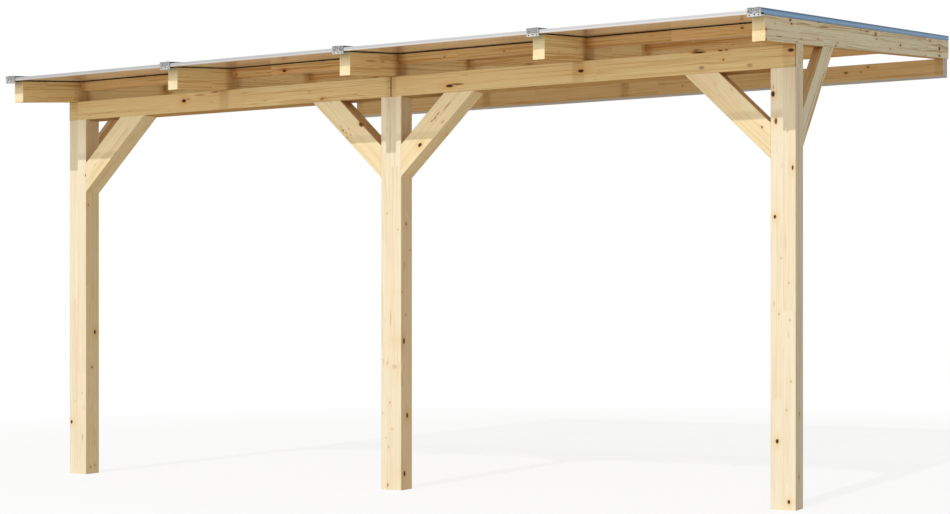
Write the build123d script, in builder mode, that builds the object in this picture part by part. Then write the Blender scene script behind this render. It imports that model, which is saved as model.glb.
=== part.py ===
from build123d import *
import os
from math import cos, radians, sin, sqrt, tan

# Timber terrace pergola that leans on a house wall. Three posts carry a front beam, two wall
# beams are bolted to the house, and five rafters with cross battens carry clear twin-wall
# sheets, held down by aluminium glazing bars.
# The origin is the middle of the wall beams' back faces. +X runs along the wall, +Y points
# into the wall and +Z is up. Lengths are millimetres.

# Overall sizes
wall_reach = 3400       # from the posts' front faces to the wall
post_spacing = 2090     # centre to centre
post_height = 2056      # from the ground to the front beam
eaves_reach = 469       # rafter tails in front of the posts
roof_pitch = 6.65       # degrees, rising towards the wall

# Timber sections
post_side = 120
beam_depth = 120        # front to back
beam_height = 120       # at the back face, before the top is planed to the pitch
wall_beam_inset = 9     # wall beams end short of the rafters' outer faces
wall_beam_joint = -8    # where the two wall beams meet, just left of the middle
rafter_width = 60
rafter_depth = 115      # square to the pitch
batten_thickness = 50   # along the rafters
batten_depth = 55       # square to the pitch
brace_side = 120
back_brace_thickness = 50
back_brace_width = 120
arris = 2               # eased edges of the planed timber
butt_gap = 1            # between two beams that meet end to end

# Braces and battens
brace_leg = 420         # outer leg of the front braces, along post and beam
back_brace_leg = 480    # outer leg of the back braces, down the post from the rafter
batten_start = 28       # first row, behind the posts' front faces
batten_rows = 5
batten_wall_gap = 2     # between the last row and the wall beams

# Roof covering
sheet_thickness = 16
sheet_skin = 1
sheet_rib = 1
sheet_chambers = 42
wall_gap = 5            # covering stops short of the wall
gasket_height = 2.5
gasket_groove = 1
seal_height = 8.5
seal_width = 8
seal_start = 20         # from the bar's centre line
bar_width = 62
bar_skin = 2
bar_lip = 4             # free edges of the cap, down beside the seals
bar_bevel = 1.5
fin_thickness = 1.5
fin_channel = 3         # screw channel between the two fins
fin_clearance = 2       # between a fin and a sheet
bar_overhang = 67       # bars in front of the rafters' front ends
stop_thickness = 3
stop_drop = 10          # below the rafters' top
stop_lip = 5
stop_return = 35
strip_skin = 1.2
strip_return = 25
strip_clearance = 1

# Worked out from the sizes above
rise = tan(radians(roof_pitch))
slope = cos(radians(roof_pitch))
post_front = -wall_reach
post_back = post_front + post_side
half_width = post_spacing + post_side / 2
bay = (half_width - rafter_width / 2) / 2
rafter_front = post_front - eaves_reach
rafter_places = [-2 * bay, -bay, 0, bay, 2 * bay]
bay_places = [-1.5 * bay, -0.5 * bay, 0.5 * bay, 1.5 * bay]


def rafter_underside(y):
    return beam_height / 2 + rise * y


def down_slope(y):
    # distance along the rafter top from the wall to the place that is level with y
    return -y / slope


front_beam_back = post_front + beam_depth
front_beam_bottom = rafter_underside(front_beam_back) - beam_height
ground = front_beam_bottom - post_height
rafter_top_at_wall = rafter_underside(0) + rafter_depth / slope
fin_reach = fin_channel / 2 + fin_thickness
sheet_width = bay - 2 * (fin_reach + fin_clearance)
sheet_bottom = gasket_height
sheet_top = sheet_bottom + sheet_thickness
cap_bottom = sheet_top + seal_height
cap_top = cap_bottom + bar_skin
bar_front = rafter_front - bar_overhang
sheet_front = bar_front + strip_skin + strip_clearance
sheet_length = down_slope(sheet_front) - wall_gap
batten_run = wall_reach - beam_depth - batten_wall_gap - batten_thickness - batten_start
batten_spacing = batten_run / (batten_rows - 1)

# Cross-sections of the roof covering are drawn on this plane, which is square to the pitch
# and stands at the wall. Its X is across the roof, its Y is up from the rafters' top, and
# its offsets run down the slope.
roof_section = Plane(
    origin=(0, 0, rafter_top_at_wall),
    x_dir=(1, 0, 0),
    z_dir=(0, -slope, -sin(radians(roof_pitch))),
)
along_slope = Axis((0, 0, 0), (0, slope, sin(radians(roof_pitch))))

os.makedirs("parts", exist_ok=True)


def save(piece, name):
    piece.part.label = name
    export_step(piece.part, f"parts/{name}.step")


# Posts
def make_post(name, x):
    with BuildPart() as post:
        with BuildSketch(Plane.XY.offset(ground)):
            with Locations((x, post_front + post_side / 2)):
                Rectangle(post_side, post_side)
        extrude(amount=post_height)
        chamfer(post.edges().filter_by(Axis.Z), arris)
    save(post, name)


# Beams, with the top planed to the pitch so that the rafters lie flat on it
def make_beam(name, back, x_from, x_to):
    front = back - beam_depth
    bottom = rafter_underside(back) - beam_height
    with BuildPart() as beam:
        with BuildSketch(Plane.YZ.offset(x_from)):
            with BuildLine():
                Polyline(
                    (front, bottom),
                    (back, bottom),
                    (back, rafter_underside(back)),
                    (front, rafter_underside(front)),
                    close=True,
                )
            make_face()
        extrude(amount=x_to - x_from)
        chamfer(beam.edges().filter_by(Axis.X), arris)
    save(beam, name)


# Braces between a post and the front beam, mitred at 45 degrees, flush with the post's front
def make_front_brace(name, post_x, side):
    inner_leg = brace_leg - brace_side * sqrt(2)
    post_face = post_x + side * post_side / 2
    with BuildPart() as brace:
        with BuildSketch(Plane.XZ.offset(-post_front - brace_side)):
            with BuildLine():
                Polyline(
                    (post_face, front_beam_bottom - brace_leg),
                    (post_face + side * brace_leg, front_beam_bottom),
                    (post_face + side * inner_leg, front_beam_bottom),
                    (post_face, front_beam_bottom - inner_leg),
                    close=True,
                )
            make_face()
        extrude(amount=brace_side)
        chamfer(brace.edges().filter_by(Axis((0, 0, 0), (side, 0, 1))), arris)
    save(brace, name)


# Braces from the back of an outer post up to the underside of the end rafter
def make_back_brace(name, side):
    post_top = rafter_underside(post_back)
    outer_foot = post_top - back_brace_leg
    inner_foot = outer_foot + back_brace_width * sqrt(2)

    def rafter_end(foot):
        return post_back + (post_top - foot) / (1 - rise)

    outer_end = rafter_end(outer_foot)
    inner_end = rafter_end(inner_foot)
    middle = side * (half_width - back_brace_thickness / 2)
    with BuildPart() as brace:
        with BuildSketch(Plane.YZ.offset(middle)):
            with BuildLine():
                Polyline(
                    (post_back, outer_foot),
                    (outer_end, rafter_underside(outer_end)),
                    (inner_end, rafter_underside(inner_end)),
                    (post_back, inner_foot),
                    close=True,
                )
            make_face()
        extrude(amount=back_brace_thickness / 2, both=True)
        chamfer(brace.edges().filter_by(Axis((0, 0, 0), (0, 1, 1))), arris)
    save(brace, name)


# Rafters, cut plumb at both ends
def make_rafter(name, x):
    with BuildPart() as rafter:
        with BuildSketch(Plane.YZ.offset(x)):
            with BuildLine():
                Polyline(
                    (rafter_front, rafter_underside(rafter_front)),
                    (0, rafter_underside(0)),
                    (0, rafter_top_at_wall),
                    (rafter_front, rafter_top_at_wall + rise * rafter_front),
                    close=True,
                )
            make_face()
        extrude(amount=rafter_width / 2, both=True)
        chamfer(rafter.edges().filter_by(along_slope), arris)
    save(rafter, name)


# One row of cross battens between the rafters, their tops level with the rafters' tops
def make_batten_row(name, row):
    front = down_slope(post_front + batten_start + row * batten_spacing)
    with BuildPart() as battens:
        with BuildSketch(roof_section.offset(front - batten_thickness)):
            with Locations(*[(x, -batten_depth / 2) for x in bay_places]):
                Rectangle(bay - rafter_width, batten_depth)
        extrude(amount=batten_thickness)
    save(battens, name)


# Clear twin-wall sheet with its open chambers
def make_sheet(name, x):
    chamber_pitch = (sheet_width - sheet_rib) / sheet_chambers
    with BuildPart() as sheet:
        with BuildSketch(roof_section.offset(wall_gap)):
            with Locations((x, sheet_bottom + sheet_thickness / 2)):
                Rectangle(sheet_width, sheet_thickness)
                with GridLocations(chamber_pitch, 0, sheet_chambers, 1):
                    Rectangle(
                        chamber_pitch - sheet_rib,
                        sheet_thickness - 2 * sheet_skin,
                        mode=Mode.SUBTRACT,
                    )
        extrude(amount=sheet_length)
    save(sheet, name)


# Rubber strip on a rafter, grooved underneath, that carries the edges of two sheets
def make_base_gasket(name, x):
    groove_places = [(x + k * rafter_width / 5, 0) for k in (-2, -1, 0, 1, 2)]
    with BuildPart() as gasket:
        with BuildSketch(roof_section.offset(wall_gap)):
            with Locations((x, gasket_height / 2)):
                Rectangle(rafter_width, gasket_height)
            with Locations(*groove_places):
                Rectangle(2 * gasket_groove, gasket_groove, mode=Mode.SUBTRACT)
        extrude(amount=down_slope(bar_front) - wall_gap)
    save(gasket, name)


# Half of a glazing bar's outline, from its centre line out to the free lip
def lipped_half(side):
    half = bar_width / 2
    return [
        (0, cap_top),
        (side * (half - bar_bevel), cap_top),
        (side * half, cap_top - bar_bevel),
        (side * half, cap_bottom - bar_lip),
        (side * (half - bar_skin), cap_bottom - bar_lip),
        (side * (half - bar_skin), cap_bottom),
        (side * fin_reach, cap_bottom),
        (side * fin_reach, gasket_height),
        (side * fin_channel / 2, gasket_height),
        (side * fin_channel / 2, cap_bottom),
        (0, cap_bottom),
    ]


# The other half of an end bar, with the side wall that comes down to the rafter's top
def walled_half(side):
    half = rafter_width / 2 + bar_skin
    return [
        (0, cap_top),
        (side * (half - bar_bevel), cap_top),
        (side * half, cap_top - bar_bevel),
        (side * half, 0),
        (side * (half - bar_skin), 0),
        (side * (half - bar_skin), cap_bottom),
        (side * fin_reach, cap_bottom),
        (side * fin_reach, gasket_height),
        (side * fin_channel / 2, gasket_height),
        (side * fin_channel / 2, cap_bottom),
        (0, cap_bottom),
    ]


# Aluminium glazing bar: a cap over the sheets' edges and two fins down to the rubber strip
def make_glazing_bar(name, x, halves):
    with BuildPart() as bar:
        with BuildSketch(roof_section.offset(wall_gap)):
            for half in halves:
                with Locations((x, 0)):
                    with BuildSketch(mode=Mode.PRIVATE) as outline:
                        with BuildLine():
                            Polyline(*half, close=True)
                        make_face()
                    add(outline.sketch)
        extrude(amount=down_slope(bar_front) - wall_gap)
    save(bar, name)


# Soft seals between the bars' caps and the sheets
def make_cap_seals(name):
    reach = bay / 2 - seal_start - seal_width / 2
    places = [(x + side * reach, sheet_top + seal_height / 2) for x in bay_places for side in (-1, 1)]
    with BuildPart() as seals:
        with BuildSketch(roof_section.offset(wall_gap)):
            with Locations(*places):
                Rectangle(seal_width, seal_height)
        extrude(amount=sheet_length)
    save(seals, name)


# Plates that close the bars' front ends, each with a lip below that turns back
def make_end_stops(name):
    height = cap_top + stop_drop
    bar_end = down_slope(bar_front)
    plate_places = [(x, cap_top - height / 2) for x in rafter_places]
    lip_places = [(x, -stop_drop + stop_lip / 2) for x in rafter_places]
    with BuildPart() as stops:
        with BuildSketch(roof_section.offset(bar_end)):
            with Locations(*plate_places):
                Rectangle(bar_width, height)
        extrude(amount=stop_thickness)
        with BuildSketch(roof_section.offset(bar_end - stop_return)):
            with Locations(*lip_places):
                Rectangle(bar_width, stop_lip)
        extrude(amount=stop_return)
    save(stops, name)


# Channel that closes the chambers along a sheet's front edge
def make_edge_strip(name, x):
    sheet_end = down_slope(sheet_front)
    middle = (x, sheet_bottom + sheet_thickness / 2)
    free_width = bay - bar_width - 2 * strip_clearance
    channel_height = sheet_thickness + 2 * strip_skin
    with BuildPart() as strip:
        with BuildSketch(roof_section.offset(sheet_end - strip_return)):
            with Locations(middle):
                Rectangle(free_width, channel_height)
                Rectangle(free_width, sheet_thickness, mode=Mode.SUBTRACT)
        extrude(amount=strip_return)
        with BuildSketch(roof_section.offset(sheet_end)):
            with Locations(middle):
                Rectangle(free_width, channel_height)
                Rectangle(sheet_width, sheet_thickness)
        extrude(amount=strip_skin)
    save(strip, name)


make_post("post_left", -post_spacing)
make_post("post_middle", 0)
make_post("post_right", post_spacing)

make_beam("front_beam_left", front_beam_back, -half_width, -butt_gap / 2)
make_beam("front_beam_right", front_beam_back, butt_gap / 2, half_width)
make_beam("wall_beam_left", 0, -half_width + wall_beam_inset, wall_beam_joint - butt_gap / 2)
make_beam("wall_beam_right", 0, wall_beam_joint + butt_gap / 2, half_width - wall_beam_inset)

make_front_brace("brace_left_post", -post_spacing, 1)
make_front_brace("brace_middle_post_left", 0, -1)
make_front_brace("brace_middle_post_right", 0, 1)
make_front_brace("brace_right_post", post_spacing, -1)
make_back_brace("back_brace_left", -1)
make_back_brace("back_brace_right", 1)

for number, place in enumerate(rafter_places, start=1):
    make_rafter(f"rafter_{number}", place)
    make_base_gasket(f"base_gasket_{number}", place)

make_glazing_bar("glazing_bar_1", rafter_places[0], [walled_half(-1), lipped_half(1)])
for number in (2, 3, 4):
    make_glazing_bar(f"glazing_bar_{number}", rafter_places[number - 1], [lipped_half(-1), lipped_half(1)])
make_glazing_bar("glazing_bar_5", rafter_places[4], [lipped_half(-1), walled_half(1)])

for row in range(batten_rows):
    make_batten_row(f"batten_row_{row + 1}", row)

for number, place in enumerate(bay_places, start=1):
    make_sheet(f"roof_sheet_{number}", place)
    make_edge_strip(f"edge_strip_{number}", place)

make_cap_seals("cap_seals")
make_end_stops("bar_end_stops")
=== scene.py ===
import math
import random

import bmesh
import bpy
from bpy.props import FloatProperty, FloatVectorProperty, PointerProperty
from mathutils import Matrix, Vector


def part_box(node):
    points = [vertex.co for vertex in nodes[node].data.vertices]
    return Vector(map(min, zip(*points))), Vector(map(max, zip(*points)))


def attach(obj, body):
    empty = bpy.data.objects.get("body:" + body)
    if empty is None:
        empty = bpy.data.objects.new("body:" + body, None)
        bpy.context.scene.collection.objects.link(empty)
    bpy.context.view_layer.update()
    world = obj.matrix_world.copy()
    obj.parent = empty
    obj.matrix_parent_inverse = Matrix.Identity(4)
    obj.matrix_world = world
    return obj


bl_info = {
    "name": "Lean-to Timber Pergola",
    "version": (1, 0, 0),
    "blender": (4, 5, 0),
    "location": "3D View > Sidebar > Pergola",
    "description": "Finishes the pergola's timber, roof covering and fixings, and sets its stage",
    "category": "Object",
}

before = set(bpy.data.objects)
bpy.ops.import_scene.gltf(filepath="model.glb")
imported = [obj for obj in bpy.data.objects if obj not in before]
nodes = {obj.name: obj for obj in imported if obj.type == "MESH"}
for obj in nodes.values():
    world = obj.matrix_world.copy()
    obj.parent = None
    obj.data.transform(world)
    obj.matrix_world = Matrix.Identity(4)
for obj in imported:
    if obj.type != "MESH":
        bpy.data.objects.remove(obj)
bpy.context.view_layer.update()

# Lines and faces read from the frame, in metres
POST_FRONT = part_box("post_right")[0].y
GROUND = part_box("post_right")[0].z
RAFTER_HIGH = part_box("rafter_5")[1]
HALF_WIDTH = RAFTER_HIGH.x
RAFTERS = [sum(corner.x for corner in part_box(f"rafter_{number}")) / 2 for number in range(1, 6)]
PITCH = math.radians(6.65)
UP_SLOPE = Vector((0, math.cos(PITCH), math.sin(PITCH)))
ROOF_NORMAL = Vector((0, -math.sin(PITCH), math.cos(PITCH)))
ROOF_AT_WALL = Vector((0, 0, RAFTER_HIGH.z))
ACROSS = Vector((1, 0, 0))
DEEP = Vector((0, 1, 0))
UP = Vector((0, 0, 1))

# How far in from the rafters' outer faces a timber still counts as part of the open side
SIDE_REACH = 0.03
# A face looks along an axis when its normal's share of that axis is above this
FACING = 0.9

# Sections of the timbers, in metres: posts, beams and front braces share the first
POST_HALF = 0.06
BACK_BRACE_HALF = 0.025
RAFTER_HALF = 0.03
RAFTER_DEPTH = 0.115
BATTEN_HALF = 0.025
BATTEN_DEPTH = 0.055

# The seals' height over the wood, the gap at a tape's ends, and how far lips turn down beside the wood
SEAL_TOP = 0.0024
TAPE_GAP = 0.0015
LIP_HALF = 0.0006
# The lips are dark rubber turned down beside the wood, partly painted shade along its top edges
RAFTER_LIP_DROP = 0.0014
BATTEN_LIP_DROP = 0.0016

# Distances from where battens and rafters meet between which painted shade darkens their wood
BATTEN_CORNER_SHADE = (0.085, 0.032)
RAFTER_CORNER_SHADE = (0.10, 0.03)

# Heights over the rafters' tops where bands on the metal begin, are full, start to fade and end: the
# channels' painted highlight on the lip and painted shade in the groove, and the lighter ridge in the side
# walls' painted sky reflection
STRIP_LIP_HIGHLIGHT = (0.0045, 0.0060, 0.0075, 0.0090)
STRIP_GROOVE_SHADE = (0.0085, 0.0105, 0.0125, 0.0145)
SIDE_REFLECTION_RIDGE = (0.006, 0.009, 0.012, 0.017)
# Heights between which the painted reflection of the wood on the channels' foot and the darker top line of
# the side walls' painted sky reflection come in
STRIP_FOOT_REFLECTION = (0.0055, 0.0025)
SIDE_REFLECTION_LINE = (0.019, 0.024)
# The end bars' side walls lie further out than this from the rafters' outer faces
SIDE_WALL_OUT = 0.0015

# How dense an extrusion's lines are along x, y and z, and how high they stand, in metres
BAR_LINES = (900.0, 2.0, 900.0)
SIDE_LINES = (900.0, 2.0, 500.0)
STRIP_LINES = (2.0, 900.0, 900.0)
LINE_RELIEF = 0.00005


def colour(red, green, blue):
    """A colour written as screen values from 0 to 255, as the linear values that shaders take"""
    def linear(value):
        value /= 255
        return value / 12.92 if value <= 0.04045 else ((value + 0.055) / 1.055) ** 2.4
    return linear(red), linear(green), linear(blue)


def colour_property(name, description, red, green, blue):
    """A colour setting, with its default as screen values"""
    return FloatVectorProperty(
        name=name, description=description, subtype="COLOR", size=3, min=0, max=1,
        default=colour(red, green, blue),
    )


def length_property(name, description, default):
    """A length setting, in metres"""
    return FloatProperty(name=name, description=description, default=default, min=0, unit="LENGTH")


def share_property(name, description, default):
    """A setting from 0 to 1"""
    return FloatProperty(
        name=name, description=description, default=default, min=0, max=1, subtype="FACTOR",
    )


class PergolaTimberSettings(bpy.types.PropertyGroup):
    """Colours and measures of the wood"""
    post_wood: colour_property("Posts", "Pale wood of the posts", 240, 230, 206)
    # Painted shade: the posts' inner sides are yellower, as they look in warm shade
    post_side_shade_wood: colour_property("Post sides", "Yellower sides of the posts", 238, 220, 184)
    brace_wood: colour_property("Braces", "Pale wood of the front braces", 240, 224, 187)
    back_brace_wood: colour_property("Back braces", "Pale wood of the back braces", 218, 184, 136)
    beam_wood: colour_property("Front beams", "Pale wood of the front beams", 229, 204, 153)
    wall_beam_wood: colour_property("Wall beams", "Pale wood of the wall beams", 214, 184, 134)
    rafter_wood: colour_property("Rafters", "Pale wood of the rafters", 240, 212, 158)
    # Painted shade: faces at the open sides are greyer, as they look under the cool open sky
    outer_shade_wood: colour_property("Outer faces", "Greyer wood at the two open sides", 222, 215, 188)
    batten_wood: colour_property("Battens", "Pale wood of the battens", 222, 185, 129)
    # Painted shade: undersides are browner, as they look in the shade under the roof
    under_shade_wood: colour_property("Undersides", "Browner undersides of front beams and rafters", 200, 168, 120)
    # Painted shade on the braces' upper faces
    brace_top_shade_wood: colour_property("Brace tops", "Browner upper faces of the braces", 206, 168, 116)
    end_wood: colour_property("Rafter ends", "Pale end grain of the rafters", 245, 231, 192)
    # Painted shade: the wall beams' undersides and ends are greyed, as they look in shade
    sealed_wood: colour_property("Sealed ends", "Greyed ends and undersides of the wall beams", 186, 186, 182)
    late_wood: colour_property("Late wood", "How the darker line of each ring tints the wood", 216, 182, 136)
    pale_late_wood: colour_property("Pale late wood", "The same on posts and braces", 226, 208, 160)
    # The same painted shade, in the grain of the open sides' faces
    outer_shade_late_wood: colour_property("Outer late wood", "The same on the greyer outer faces", 206, 184, 152)
    # Painted shade in the corners where battens meet rafters
    corner_shade_tint: colour_property("Corners", "How wood darkens where battens meet rafters", 206, 176, 132)
    blush_wood: colour_property("Blush", "How pinkish streaks tint the wood", 255, 250, 246)
    knot_heart: colour_property("Knot heart", "Heart of a knot", 42, 28, 10)
    knot_rim: colour_property("Knot rim", "Brown rim of a knot", 144, 98, 54)
    resin_wood: colour_property("Knot surround", "How resin around a knot tints the wood", 246, 214, 160)
    board_length: length_property("Board length", "Between two finger joints", 1.15)
    fibre_height: length_property("Fibre height", "Relief of the planed fibres", 0.0004)


class PergolaRoofSettings(bpy.types.PropertyGroup):
    """Colours of the sheets, metals and rubber"""
    sheet_tint: colour_property("Sheet", "Clear sheet's own tint", 232, 232, 228)
    sheet_cover: share_property("Sheet cover", "How much one skin hides, seen square on", 0.28)
    metal: colour_property("Bars", "Mill-finished aluminium", 205, 207, 209)
    lip_metal: colour_property("Cap lips", "Sides of the caps, in their own shade", 62, 65, 72)
    # Painted sky reflection: steel-blue walls with a darker top line and a lighter ridge, as the aluminium
    # mirrors the sky
    side_sky_reflection: colour_property("End bar sides", "Steel-blue side walls of the end bars", 104, 144, 180)
    side_reflection_line: colour_property("End bar line", "Darker line along the top of the side walls", 52, 98, 128)
    side_reflection_ridge: colour_property("End bar ridge", "Lighter ridge along the side walls", 134, 168, 200)
    strip_metal: colour_property("Edge strips", "Channels along the sheets' front edges", 186, 185, 185)
    # Painted reflection of the warm wood below, on the channels' foot
    strip_wood_reflection: colour_property("Strip foot", "Warmer foot of the channels, over the wood", 190, 172, 152)
    plate_metal: colour_property("End plates", "Plates on the bars' front ends", 186, 188, 184)
    # Browned towards shaded wood, so the seals, tapes and lips also give a painted shade line along the wood
    rubber: colour_property("Rubber", "Gaskets and seals", 26, 14, 5)


class PergolaFixingSettings(bpy.types.PropertyGroup):
    """Measures and colour of the timber screws"""
    head_radius: length_property("Screw head", "Radius of a timber screw's head", 0.0055)
    head_height: length_property("Head height", "How far a screw's head stands out", 0.0012)
    screw_metal: colour_property("Screws", "Zinc-plated screws", 92, 84, 70)


class PergolaStageSettings(bpy.types.PropertyGroup):
    """Camera, lights and floor"""
    focal_length: FloatProperty(
        name="Focal length", description="Camera lens, in millimetres", default=65.4, min=1,
    )
    sun_height: FloatProperty(
        name="Sun height", description="Above the horizon, straight in front of the posts",
        default=math.radians(36.3), subtype="ANGLE",
    )
    sun_strength: FloatProperty(name="Sun strength", description="Direct light", default=1.3, min=0)
    sky_strength: FloatProperty(
        name="Sky strength", description="Soft light from all around", default=0.46, min=0,
    )
    front_power: FloatProperty(
        name="Front light", description="Large soft light", default=380, min=0, unit="POWER",
    )
    floor_reach: length_property("Floor reach", "From the middle of the floor to its edge", 60)


class Wiring:
    """Adds nodes to one shader tree and links them"""

    def __init__(self, tree):
        self.tree = tree

    def add(self, kind, **settings):
        node = self.tree.nodes.new(kind)
        for name, value in settings.items():
            setattr(node, name, value)
        return node

    def feed(self, socket, value):
        """Links another node's output to a socket, or sets the socket to a constant"""
        if isinstance(value, bpy.types.NodeSocket):
            self.tree.links.new(value, socket)
        elif socket.type == "RGBA" and len(value) == 3:
            socket.default_value = (*value, 1)
        else:
            socket.default_value = value

    def math(self, operation, *values, clamp=False):
        node = self.add("ShaderNodeMath", operation=operation, use_clamp=clamp)
        for socket, value in zip(node.inputs, values):
            self.feed(socket, value)
        return node.outputs[0]

    def vector(self, operation, *values):
        node = self.add("ShaderNodeVectorMath", operation=operation)
        for socket, value in zip(node.inputs, values):
            self.feed(socket, value)
        return node.outputs["Value" if operation in ("LENGTH", "DOT_PRODUCT") else "Vector"]

    def scale(self, vector, factor):
        node = self.add("ShaderNodeVectorMath", operation="SCALE")
        self.feed(node.inputs["Vector"], vector)
        self.feed(node.inputs["Scale"], factor)
        return node.outputs["Vector"]

    def split(self, vector):
        node = self.add("ShaderNodeSeparateXYZ")
        self.feed(node.inputs[0], vector)
        return node.outputs

    def join(self, *values):
        node = self.add("ShaderNodeCombineXYZ")
        for socket, value in zip(node.inputs, values):
            self.feed(socket, value)
        return node.outputs[0]

    def mix(self, factor, first, second, blend="MIX"):
        node = self.add("ShaderNodeMix", data_type="RGBA", blend_type=blend)
        for index, value in ((0, factor), (6, first), (7, second)):
            self.feed(node.inputs[index], value)
        return node.outputs[2]

    def fade(self, value, start, end, low=0.0, high=1.0):
        node = self.add("ShaderNodeMapRange", interpolation_type="SMOOTHSTEP")
        for socket, each in zip(node.inputs, (value, start, end, low, high)):
            self.feed(socket, each)
        return node.outputs[0]

    def band(self, value, start, full, fading, end):
        """A mask that rises from start to full, and falls again from fading to end"""
        return self.math("MULTIPLY", self.fade(value, start, full), self.fade(value, end, fading))

    def noise(self, vector, scale, detail=2.0):
        node = self.add("ShaderNodeTexNoise")
        for label, value in (("Vector", vector), ("Scale", scale), ("Detail", detail)):
            self.feed(node.inputs[label], value)
        return node.outputs[0]

    def stretched_noise(self, vector, density, detail=2.0):
        """Noise with a density of its own along each axis"""
        return self.noise(self.vector("MULTIPLY", vector, density), 1.0, detail)

    def chance(self, *values):
        node = self.add("ShaderNodeTexWhiteNoise", noise_dimensions="3D")
        self.feed(node.inputs["Vector"], self.join(*values))
        return node.outputs

    def object_place(self):
        """Where a surface lies, in metres, in the frame's axes"""
        return self.add("ShaderNodeTexCoord").outputs["Object"]

    def seen_by(self, *kinds):
        """Whether a ray is of one of these kinds, as a mask"""
        path = self.add("ShaderNodeLightPath").outputs
        seen = path[f"Is {kinds[0]} Ray"]
        for kind in kinds[1:]:
            seen = self.math("MAXIMUM", seen, path[f"Is {kind} Ray"])
        return seen

    def place(self, group, **inputs):
        """Adds a node group, fed by its sockets' names"""
        node = self.add("ShaderNodeGroup", node_tree=group)
        for label, value in inputs.items():
            self.feed(node.inputs[label.replace("_", " ")], value)
        return node.outputs

    def bump(self, height, distance, strength=1.0):
        node = self.add("ShaderNodeBump")
        for label, value in (("Height", height), ("Distance", distance), ("Strength", strength)):
            self.feed(node.inputs[label], value)
        return node.outputs[0]


def new_group(name, inputs, outputs):
    """A shader node group with its sockets, and the wiring to fill it"""
    tree = bpy.data.node_groups.new(name, "ShaderNodeTree")
    for label, kind in inputs:
        tree.interface.new_socket(name=label, in_out="INPUT", socket_type=f"NodeSocket{kind}")
    for label, kind in outputs:
        tree.interface.new_socket(name=label, in_out="OUTPUT", socket_type=f"NodeSocket{kind}")
    wiring = Wiring(tree)
    return tree, wiring, wiring.add("NodeGroupInput").outputs, wiring.add("NodeGroupOutput").inputs


def knot_group():
    """One knot: a dark core, a warm surround, and grain that flows around it"""
    inputs = (
        ("Vector", "Vector"), ("Core", "Float"), ("Surround", "Float"),
        ("Place", "Vector"), ("Size", "Vector"), ("Darkness", "Float"),
    )
    outputs = (("Vector", "Vector"), ("Core", "Float"), ("Surround", "Float"))
    tree, w, given, out = new_group("Knot", inputs, outputs)
    offset = w.vector("SUBTRACT", given["Vector"], given["Place"])
    scaled = w.vector("DIVIDE", offset, given["Size"])
    ragged = w.math("MULTIPLY_ADD", w.noise(scaled, 1.6), 0.5, 0.75)
    distance = w.math("MULTIPLY", w.vector("LENGTH", scaled), ragged)
    core = w.fade(distance, 1.2, 0.35)
    spread = w.math("MULTIPLY", distance, distance)
    surround = w.math("EXPONENT", w.math("MULTIPLY", spread, -0.16))
    pull = w.math("MULTIPLY_ADD", w.math("EXPONENT", w.math("MULTIPLY", spread, -0.3)), -0.6, 1.0)
    bent = w.vector("MULTIPLY", offset, w.join(1.0, pull, pull))
    w.feed(out["Vector"], w.vector("ADD", given["Place"], bent))
    for label, mask in (("Core", core), ("Surround", surround)):
        w.feed(out[label], w.math("MAXIMUM", given[label], w.math("MULTIPLY", mask, given["Darkness"])))
    return tree


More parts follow.
